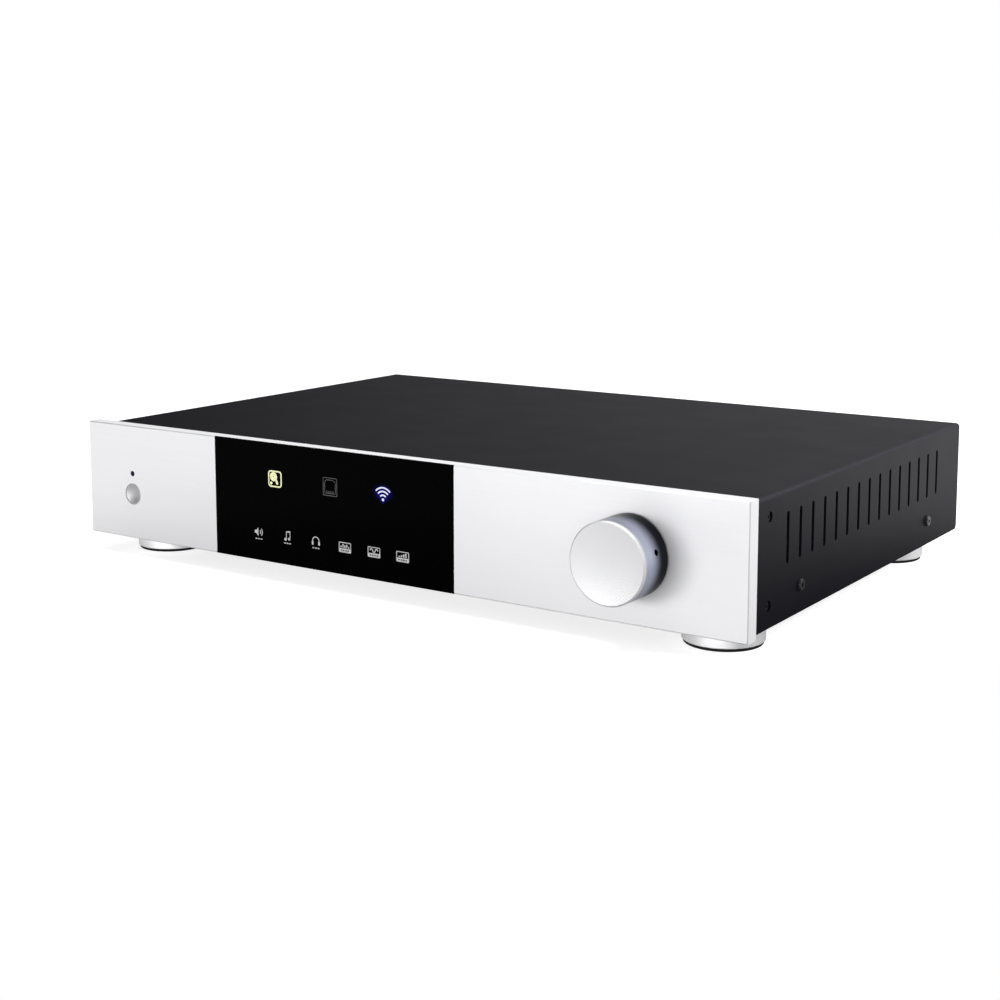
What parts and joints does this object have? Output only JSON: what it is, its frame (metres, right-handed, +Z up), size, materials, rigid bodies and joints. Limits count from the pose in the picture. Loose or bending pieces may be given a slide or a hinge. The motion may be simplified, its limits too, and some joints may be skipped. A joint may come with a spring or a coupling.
{
  "type": "network music streamer",
  "caption": "Full-width low audio component with a thick silver front panel, black display window, volume knob, standby button, slotted black cover, round feet and rear sockets.",
  "frame": {"origin": "middle of the part's box in X and Y, on the surface that its foot pads stand on", "axes": "+Z up, +X to the viewer's right when facing the front, front panel towards -Y"},
  "size_m": [0.43, 0.3262, 0.078],
  "materials": {
    "silver_anodised": "fine satin anodised aluminium",
    "turned_aluminium": "turned and polished aluminium",
    "raw_aluminium": "mill finish extruded aluminium",
    "black_powder": "fine textured black powder coat",
    "black_window": "gloss black acrylic",
    "eye_smoke": "dark infrared-clear plastic",
    "black_oxide": "black oxide steel screws",
    "zinc_steel": "bright zinc plated steel",
    "gold_plate": "gold plated brass",
    "nickel_shell": "nickel plated sheet",
    "black_plastic": "black moulded plastic",
    "white_plastic": "white moulded plastic",
    "lamp_plastic": "diffusing lamp plastic",
    "grey_ribbon": "grey ribbon cable",
    "green_board": "green solder mask",
    "black_rubber": "soft black rubber",
    "coil_tape": "amber winding tape over copper",
    "sleeve_blue": "dark blue shrink sleeve",
    "black_anodised": "black anodised extrusion",
    "wire_sleeve": "soft wire insulation"
  },
  "bodies": {
    "chassis": {"front_panel": "silver_anodised", "display_window": "black_window", "light_mask": "black_plastic", "indicator_lamps": "lamp_plastic", "eye_lens": "eye_smoke", "eye_receiver": "black_plastic", "button_switch": "black_plastic", "front_board": "green_board", "encoder_body": "zinc_steel", "encoder_nut": "nickel_shell", "encoder_washer": "nickel_shell", "top_cover": "black_powder", "base_tray": "black_powder", "rear_panel": "black_powder", "bracket_left": "raw_aluminium", "bracket_right": "raw_aluminium", "cover_screws": "black_oxide", "bracket_screws": "black_oxide", "panel_screws": "zinc_steel", "rear_screws": "black_oxide", "rear_nuts": "gold_plate", "foot_front_left": "turned_aluminium", "foot_front_right": "turned_aluminium", "foot_rear_left": "turned_aluminium", "foot_rear_right": "turned_aluminium", "pad_front_left": "black_rubber", "pad_front_right": "black_rubber", "pad_rear_left": "black_rubber", "pad_rear_right": "black_rubber", "foot_screws": "zinc_steel", "main_board": "green_board", "board_spacers": "gold_plate", "board_screws": "zinc_steel", "processor": "black_plastic", "heatsink": "black_anodised", "ribbon_cable": "grey_ribbon", "supply_board": "green_board", "filter_capacitors": "sleeve_blue", "transformer": "coil_tape", "transformer_pads": "black_rubber", "transformer_clamp": "zinc_steel", "transformer_bolt": "zinc_steel", "ethernet_jack": "nickel_shell", "usb_sockets": "nickel_shell", "usb_tongues": "white_plastic", "optical_socket": "black_plastic", "phono_sockets": "gold_plate", "phono_washers": "black_plastic", "phono_cores": "white_plastic", "antenna_socket": "gold_plate", "mains_inlet": "black_plastic", "inlet_pins": "nickel_shell", "rocker_frame": "black_plastic", "wire_leads": "wire_sleeve"},
    "volume": {"volume_knob": "turned_aluminium", "knob_grub_screw": "black_oxide", "encoder_shaft": "nickel_shell"},
    "button": {"power_button": "turned_aluminium", "switch_plunger": "white_plastic"},
    "mains_rocker": {"rocker": "black_plastic"}
  },
  "joints": [
    {"name": "volume_turn", "type": "hinge", "parent": "chassis", "child": "volume", "pos_m": [0.15385, -0.1399, 0.04555], "axis": [0, 1, 0], "continuous": true},
    {"name": "power_press", "type": "slide", "parent": "chassis", "child": "button", "axis": [0, 1, 0], "range_m": [0, 0.0012], "stiffness_N_per_m": 1000, "springref_m": -0.0005},
    {"name": "mains_tip", "type": "hinge", "parent": "chassis", "child": "mains_rocker", "pos_m": [0.108, 0.1501, 0.0402], "axis": [-1, 0, 0], "range_deg": [0, 20]}
  ]
}
